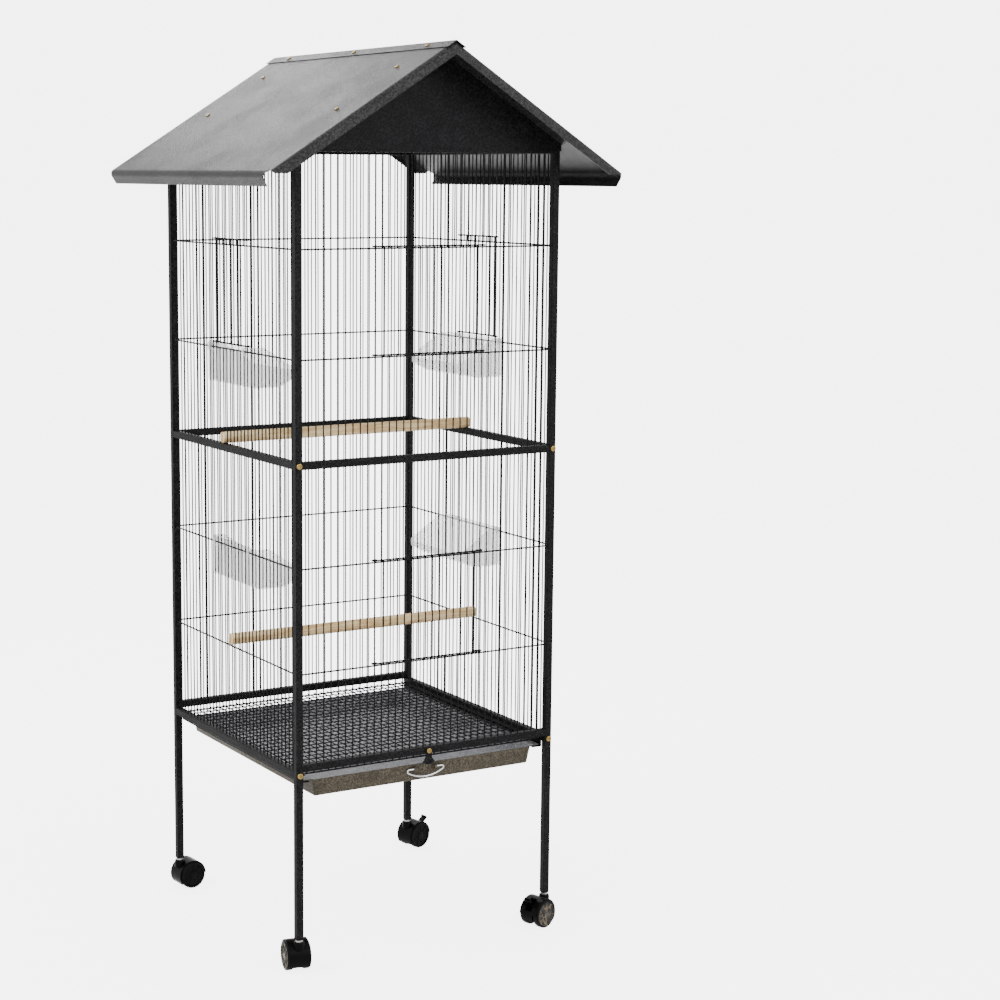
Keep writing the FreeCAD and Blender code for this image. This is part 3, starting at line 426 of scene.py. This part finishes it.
def turned(profile, axis, centre, steps=48, angle=2 * math.pi):
    """Solid of revolution from (radius, along) points about an axis through centre, from +X or +Z."""
    bm = bmesh.new()
    start = X if abs(axis.x) < 0.5 else Z
    verts = [bm.verts.new(centre + start * r + axis * a) for r, a in profile]
    edges = [bm.edges.new(pair) for pair in zip(verts, verts[1:] + verts[:1])]
    full = abs(angle - 2 * math.pi) < 1e-6
    bmesh.ops.spin(bm, geom=verts + edges, cent=centre, axis=axis, angle=angle, steps=steps, use_merge=full,
                   use_duplicate=False)
    if full:
        bmesh.ops.remove_doubles(bm, verts=bm.verts, dist=1e-6)
    else:
        ends = [e for e in bm.edges if e.is_boundary]
        bmesh.ops.holes_fill(bm, edges=ends, sides=0)
    bmesh.ops.recalc_face_normals(bm, faces=bm.faces)
    return bm


def block(low, high, edge=0.0, segments=2):
    """Box between two corners with soft edges."""
    bm = bmesh.new()
    low, high = Vector(low), Vector(high)
    place = Matrix.Translation((low + high) / 2) @ Matrix.Diagonal((*(high - low), 1))
    bmesh.ops.create_cube(bm, size=1, matrix=place)
    if edge:
        soft_edges(bm, bm.edges, edge, segments)
    return bm


def carve(obj, cutter_bm):
    """Cut a shape out of a piece for good."""
    mesh = bpy.data.meshes.new("cutter")
    cutter_bm.to_mesh(mesh)
    cutter_bm.free()
    cutter = bpy.data.objects.new("cutter", mesh)
    bpy.context.scene.collection.objects.link(cutter)
    modifier = obj.modifiers.new("carve", "BOOLEAN")
    modifier.operation = "DIFFERENCE"
    modifier.solver = "EXACT"
    modifier.object = cutter
    bpy.context.view_layer.update()
    result = bpy.data.meshes.new_from_object(obj.evaluated_get(bpy.context.evaluated_depsgraph_get()))
    obj.modifiers.clear()
    obj.data = result
    bpy.data.objects.remove(cutter)


NOTCH_DEPTH = 5.2 * MM
NOTCH_HALF = 1.6 * MM


def perch_dowel(name):
    """Dowel with eased ends, notched at both ends for a wall wire."""
    low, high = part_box(name)
    centre = (low + high) / 2
    radius = (high.z - low.z) / 2
    half = (high.x - low.x) / 2
    bm = bmesh.new()
    bmesh.ops.create_cone(bm, cap_ends=True, segments=40, radius1=radius, radius2=radius, depth=2 * half,
                          matrix=Matrix.Translation(centre) @ Matrix.Rotation(math.pi / 2, 4, "Y"))
    caps = [e for e in bm.edges if len({f for f in e.link_faces if len(f.verts) > 4}) == 1]
    soft_edges(bm, caps, 0.0012, 3)
    obj = piece(name + "_dowel", bm, PINE, "cage", [name])
    for side in (-1, 1):
        near, far = sorted((centre.x + side * (half - NOTCH_DEPTH), centre.x + side * (half + 0.002)))
        notch = block((near, centre.y - NOTCH_HALF, low.z - 0.002), (far, centre.y + NOTCH_HALF, high.z + 0.002))
        carve(obj, notch)
    shade(obj.data)


CUP_WALL = 2.2 * MM
HOOK_SPREAD = 68.943 * MM
HOOK_HALF = 3.5 * MM


def feed_cup(name):
    """Milky moulded cup: rounded open scoop with a lip, and two hooks over the wall wire."""
    low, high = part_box(name)
    side = 1 if (low.x + high.x) > 0 else -1
    top = high.z
    hook_out = max(abs(low.x), abs(high.x))
    back = hook_out - 0.00935 + 0.0013
    lip = min(abs(low.x), abs(high.x))
    middle = (low.y + high.y) / 2
    half = (high.y - low.y) / 2
    outline = [(back, top), (back - 0.022, top), (lip, top - 0.043), (lip, top - 0.052), (lip + 0.034, low.z),
               (back, low.z)]
    bm = bmesh.new()
    verts = [bm.verts.new((side * x, middle - half, z)) for x, z in outline]
    face = bm.faces.new(verts)
    grown = bmesh.ops.extrude_face_region(bm, geom=[face])
    moved = [v for v in grown["geom"] if isinstance(v, bmesh.types.BMVert)]
    bmesh.ops.translate(bm, verts=moved, vec=(0, 2 * half, 0))
    bmesh.ops.recalc_face_normals(bm, faces=bm.faces)
    open_top = [f for f in bm.faces if f.normal.z > 0.3]
    bmesh.ops.delete(bm, geom=open_top, context="FACES")
    kept = [e for e in bm.edges if not e.is_boundary]
    soft_edges(bm, kept, 0.006, 4)
    bmesh.ops.recalc_face_normals(bm, faces=bm.faces)
    bmesh.ops.solidify(bm, geom=list(bm.faces), thickness=CUP_WALL)
    bmesh.ops.recalc_face_normals(bm, faces=bm.faces)
    for y in (round(middle + s * HOOK_SPREAD, 6) for s in (-1, 1)):
        near, far = sorted((side * (back - 0.0015), side * hook_out))
        strap = block((near, y - HOOK_HALF, top - 0.0066), (far, y + HOOK_HALF, top - 0.0018), 0.0008)
        near, far = sorted((side * (hook_out - 0.0026), side * hook_out))
        tab = block((near, y - HOOK_HALF, top - 0.015), (far, y + HOOK_HALF, top - 0.0018), 0.0008)
        join_bmesh(bm, strap)
        join_bmesh(bm, tab)
    piece(name + "_scoop", bm, WHITE_CUP, "cage", [name])


def joint(name):
    return next(j for j in frame["joints"] if j["name"] == name)


def caster_matrix(name):
    """From a caster's own frame (stem on Z, wheels trailing along +X) to its place under its leg."""
    swivel = joint("caster_%s_swivel" % name)["pos_m"]
    axle = joint("wheel_%s_a_roll" % name)["pos_m"]
    heading = math.atan2(axle[1] - swivel[1], axle[0] - swivel[0])
    return Matrix.Translation((swivel[0], swivel[1], 0)) @ Matrix.Rotation(heading, 4, "Z")


TRAIL = 18.0 * MM
WHEEL = 25.0 * MM
AXLE = Vector((TRAIL, 0, WHEEL))
COVER_RIBS = 9


def caster_wheel(name, letter, cover):
    """Twin-caster wheel: crowned tread, raised rim, dished face with curved ribs, round hub cap."""
    side = -1 if letter == "a" else 1
    near, far = 9.0 * MM, 21.0 * MM
    r = WHEEL
    profile = [(3.06 * MM, near), (r - 4.0 * MM, near), (r - 1.2 * MM, near + 0.25 * MM),
               (r - 0.25 * MM, near + 1.4 * MM), (r, near + 3.2 * MM), (r, far - 3.2 * MM),
               (r - 0.3 * MM, far - 1.3 * MM), (r - 1.3 * MM, far - 0.2 * MM), (r - 2.6 * MM, far),
               (r - 3.9 * MM, far - 0.2 * MM), (r - 4.7 * MM, far - 1.5 * MM), (r - 5.4 * MM, far - 2.4 * MM),
               (9.0 * MM, far - 2.6 * MM), (7.4 * MM, far - 2.3 * MM), (6.6 * MM, far - 1.0 * MM),
               (5.6 * MM, far - 0.45 * MM), (2.4 * MM, far - 0.3 * MM), (0.0, far - 0.3 * MM),
               (0.0, far - 2.6 * MM), (3.06 * MM, far - 2.6 * MM)]
    bm = turned([(a, side * b) for a, b in profile], Y, AXLE, steps=56)
    for k in range(COVER_RIBS):
        turn = k * 2 * math.pi / COVER_RIBS
        rib = block((6.8 * MM, far - 2.8 * MM, -0.7 * MM), (r - 4.9 * MM, far - 1.5 * MM, 0.7 * MM), 0.35 * MM)
        long = [e for e in rib.edges if abs((e.verts[0].co - e.verts[1].co).x) > 4 * MM]
        bmesh.ops.subdivide_edges(rib, edges=long, cuts=5)
        for v in rib.verts:
            sweep = (v.co.x - 6.8 * MM) / (r - 11.7 * MM)
            v.co.z += 3.2 * MM * sweep * sweep
        place = Matrix.Translation(AXLE) @ Matrix.Rotation(turn, 4, "Y") @ Matrix.Diagonal((1, side, 1, 1))
        join_bmesh(bm, rib, place)
    bm.transform(caster_matrix(name))
    body = "wheel_%s_%s" % (name, letter)
    obj = piece(body + "_turned", bm, [TREAD_PLASTIC, cover], body, [body])
    local = caster_matrix(name).inverted()
    for face in obj.data.polygons:
        at = local @ face.center - AXLE
        if side * at.y > 18.0 * MM and math.hypot(at.x, at.z) < r - 3.6 * MM:
            face.material_index = 1


def keep_above(bm, level):
    """Cut away everything below a level."""
    bmesh.ops.bisect_plane(bm, geom=bm.verts[:] + bm.edges[:] + bm.faces[:], plane_co=(0, 0, level),
                           plane_no=Z, clear_inner=True)


def caster_hood(name, braked):
    """Hood between the wheels: curved fender, central web, neck round the stem, brake lever slot."""
    inside, outside, half, web = 25.8 * MM, 27.7 * MM, 19.0 * MM, 8.5 * MM
    arc = math.radians(212)
    edge = 0.5 * MM
    skin = [(inside, -half + edge), (inside + edge, -half), (outside - edge, -half), (outside, -half + edge),
            (outside, half - edge), (outside - edge, half), (inside + edge, half), (inside, half - edge)]
    bm = turned(skin, Y, AXLE, steps=40, angle=-arc)
    bmesh.ops.rotate(bm, verts=bm.verts, cent=AXLE, matrix=Matrix.Rotation(math.radians(-2), 3, "Y"))
    disc = [(0.0, -web), (outside - 1.6 * MM, -web), (outside - 1.6 * MM, web), (0.0, web)]
    core = turned(disc, Y, AXLE, steps=56)
    keep_above(core, 15 * MM)
    bmesh.ops.holes_fill(core, edges=[e for e in core.edges if e.is_boundary], sides=0)
    bmesh.ops.recalc_face_normals(core, faces=core.faces)
    join_bmesh(bm, core)
    neck = [(0.0, WHEEL), (9.5 * MM, WHEEL), (9.5 * MM, 49.0 * MM), (9.1 * MM, 52.6 * MM),
            (8.2 * MM, 54.1 * MM), (7.0 * MM, 54.5 * MM), (4.3 * MM, 54.5 * MM), (4.06 * MM, 54.2 * MM),
            (4.06 * MM, 40 * MM), (0.0, 40 * MM)]
    post = turned(neck, Z, Vector((0, 0, 0)), steps=40)
    keep_above(post, 41 * MM)
    join_bmesh(bm, post)
    bm.transform(caster_matrix(name))
    obj = piece("caster_hood_%s_moulding" % name, bm, BLACK_PLASTIC, "caster_" + name, ["caster_hood_" + name])
    if braked:
        slot = block((26.0 * MM, -7.3 * MM, 33 * MM), (62 * MM, 7.3 * MM, 80 * MM))
        slot.transform(caster_matrix(name))
        carve(obj, slot)
        shade(obj.data)


def brake_lever(name):
    """Ribbed brake pedal on its pin, raised."""
    pin = Vector((32.0 * MM, 0, 41.0 * MM))
    bm = turned([(0.0, -7 * MM), (2.8 * MM, -7 * MM), (3.2 * MM, -6.6 * MM), (3.2 * MM, 6.6 * MM),
                 (2.8 * MM, 7 * MM), (0.0, 7 * MM)], Y, pin, steps=24)
    arm = block((0, -7 * MM, -1.6 * MM), (21 * MM, 7 * MM, 1.6 * MM), 0.9 * MM, 3)
    for k in range(4):
        rib = block(((10 + 3 * k) * MM, -6 * MM, 1.2 * MM), ((11.2 + 3 * k) * MM, 6 * MM, 2.1 * MM), 0.3 * MM)
        join_bmesh(arm, rib)
    join_bmesh(arm, block((18.6 * MM, -7 * MM, -1.6 * MM), (21 * MM, 7 * MM, 4.2 * MM), 0.8 * MM, 3))
    join_bmesh(bm, arm, Matrix.Translation(pin) @ Matrix.Rotation(math.radians(-38), 4, "Y"))
    bm.transform(caster_matrix(name))
    node = "brake_lever_" + name
    piece(node + "_pedal", bm, BLACK_PLASTIC, node, [node])


def pressed_tray():
    """Folded tray: sloping walls, small corner bends, side lips on the runners, bronze outside, grey inside."""
    low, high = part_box("tray")
    wall = 1.2 * MM
    lip = 20 * MM
    half = high.x - lip
    taper = 5.5 * MM
    bm = bmesh.new()
    bmesh.ops.create_cube(bm, size=1)
    for v in bm.verts:
        top = v.co.z > 0
        back = v.co.y > 0
        right = v.co.x > 0
        v.co.x = (half if top else half - taper) * (1 if right else -1)
        v.co.y = (high.y if back else low.y) + (0 if top else (-0.55 if back else 0.55) * taper)
        v.co.z = high.z if top else low.z
    bmesh.ops.delete(bm, geom=[f for f in bm.faces if f.normal.z > 0.9], context="FACES")
    soft_edges(bm, [e for e in bm.edges if not e.is_boundary], 1.6 * MM, 3)
    sides = [e for e in bm.edges if e.is_boundary and abs(abs(e.verts[0].co.x) - half) < 1e-4
             and abs(abs(e.verts[1].co.x) - half) < 1e-4]
    grown = bmesh.ops.extrude_edge_only(bm, edges=sides)
    for v in [v for v in grown["geom"] if isinstance(v, bmesh.types.BMVert)]:
        v.co.x += lip if v.co.x > 0 else -lip
    bmesh.ops.recalc_face_normals(bm, faces=bm.faces)
    if sum(f.normal.z * f.calc_area() for f in bm.faces) > 0:
        bmesh.ops.reverse_faces(bm, faces=bm.faces)
    shell = bmesh.ops.solidify(bm, geom=list(bm.faces), thickness=wall)
    for f in [g for g in shell["geom"] if isinstance(g, bmesh.types.BMFace)]:
        f.material_index = 1
    piece("tray_pressing", bm, [TRAY_PAINT, TRAY_INSIDE], "tray", ["tray"])


# Stage, light and camera

def studio():
    """Pale floor that curves up into walls all round, soft lights, and the camera."""
    bm = bmesh.new()
    bmesh.ops.create_grid(bm, x_segments=1, y_segments=1, size=9)
    grown = bmesh.ops.extrude_edge_only(bm, edges=bm.edges[:])
    raised = [v for v in grown["geom"] if isinstance(v, bmesh.types.BMVert)]
    bmesh.ops.translate(bm, verts=raised, vec=(0, 0, 9))
    corner = [e for e in bm.edges if all(abs(v.co.z) < 1e-3 for v in e.verts)]
    soft_edges(bm, corner, 3.5, 16)
    bmesh.ops.rotate(bm, verts=bm.verts, cent=(0, 0, 0), matrix=Matrix.Rotation(math.radians(-29.8), 3, "Z"))
    mesh = bpy.data.meshes.new("studio_floor")
    bm.to_mesh(mesh)
    bm.free()
    mesh.shade_smooth()
    material, tree, shader = start_material("studio_paper", 0.0, Roughness=0.9, Emission_Strength=4.5)
    shader.inputs["Base Color"].default_value = (0.92, 0.92, 0.92, 1)
    shader.inputs["Emission Color"].default_value = (1, 1, 1, 1)
    mesh.materials.append(material)
    floor = bpy.data.objects.new("studio_floor", mesh)
    bpy.context.scene.collection.objects.link(floor)
    floor.visible_diffuse = False
    floor.visible_glossy = False
    floor.visible_shadow = False

    world = bpy.data.worlds.new("soft_room")
    bpy.context.scene.world = world
    world.use_nodes = True
    tree = world.node_tree
    aim = tree.nodes.new("ShaderNodeVectorMath")
    aim.operation = "DOT_PRODUCT"
    tree.links.new(tree.nodes.new("ShaderNodeTexCoord").outputs["Generated"], aim.inputs[0])
    aim.inputs[1].default_value = (0.35, 0.86, -0.38)
    glow = ramp(tree, aim.outputs["Value"], [(0.82, 0.3), (0.97, 1.0)])
    tree.links.new(glow, tree.nodes["Background"].inputs["Color"])
    tree.nodes["Background"].inputs["Strength"].default_value = 4.0

    middle = Vector((0, 0, 0.8))
    for name, place, size, power in (("softbox_left", (-3.2, 0.6, 3.4), 2.0, 90.0),
                                     ("softbox_rear", (0.45, 2.1, 2.3), 0.8, 11.0),
                                     ("softbox_front", (1.6, -4.2, 2.4), 2.0, 60.0)):
        light = bpy.data.lights.new(name, "AREA")
        light.energy = power
        light.size = size
        lamp = bpy.data.objects.new(name, light)
        lamp.location = place
        lamp.rotation_mode = "QUATERNION"
        lamp.rotation_quaternion = (middle - Vector(place)).to_track_quat("-Z", "Y")
        bpy.context.scene.collection.objects.link(lamp)

    azimuth, elevation, roll = math.radians(-29.776), math.radians(8.587), math.radians(-0.256)
    ahead = Vector((-math.sin(azimuth) * math.cos(elevation), math.cos(azimuth) * math.cos(elevation),
                    -math.sin(elevation)))
    camera = bpy.data.objects.new("camera", bpy.data.cameras.new("camera"))
    camera.data.lens = 76.44
    camera.data.sensor_width = 36.0
    camera.data.shift_x = 0.0977
    camera.data.shift_y = -0.0077
    camera.data.clip_end = 100
    camera.location = (-1.8031, -3.3109, 1.3399)
    camera.rotation_mode = "QUATERNION"
    tilt = Matrix.Rotation(roll, 3, ahead).to_quaternion()
    camera.rotation_quaternion = tilt @ ahead.to_track_quat("-Z", "Y")
    bpy.context.scene.collection.objects.link(camera)
    bpy.context.scene.camera = camera


studio()

CORNERS = ("front_left", "front_right", "back_left", "back_right")
SIDES = ("front", "back", "left", "right")
finish_nodes(FRAME_PAINT, "tray_runners", "latch_plate", *[side + "_rails" for side in SIDES],
             *["post_" + c for c in CORNERS], *["leg_" + c for c in CORNERS])
finish_nodes(BLACK_WIRE, "front_door_upper", "front_door_lower", "feeder_door_left", "feeder_door_right",
             *["%s_%s_wires" % (side, level) for side in SIDES for level in ("upper", "lower")])
finish_nodes(GRATE_WIRE, "grate")
finish_nodes(ROOF_PAINT, "roof_left", "roof_right", "ridge_cap")
finish_nodes(GABLE_PAINT, "gable_front", "gable_back")
finish_nodes(TRAY_PAINT, "handle_lugs")
finish_nodes(YELLOW_ZINC, "frame_bolts", "roof_screws", "latch_screw")
finish_nodes(CHROME, "tray_handle")
finish_nodes(GREY_ZINC, "caster_stems")
finish_nodes(BLACK_PLASTIC, "leg_plugs")

for name in ("perch_upper", "perch_lower"):
    perch_dowel(name)
for name in ("cup_upper_left", "cup_upper_right", "cup_lower_left", "cup_lower_right"):
    feed_cup(name)

pressed_tray()
for corner in CORNERS:
    for letter in "ab":
        caster_wheel(corner, letter, SWIRL_PLASTIC if corner.startswith("front") else PLAIN_COVER)
    caster_hood(corner, corner.endswith("right"))
for corner in ("front_right", "back_right"):
    brake_lever(corner)
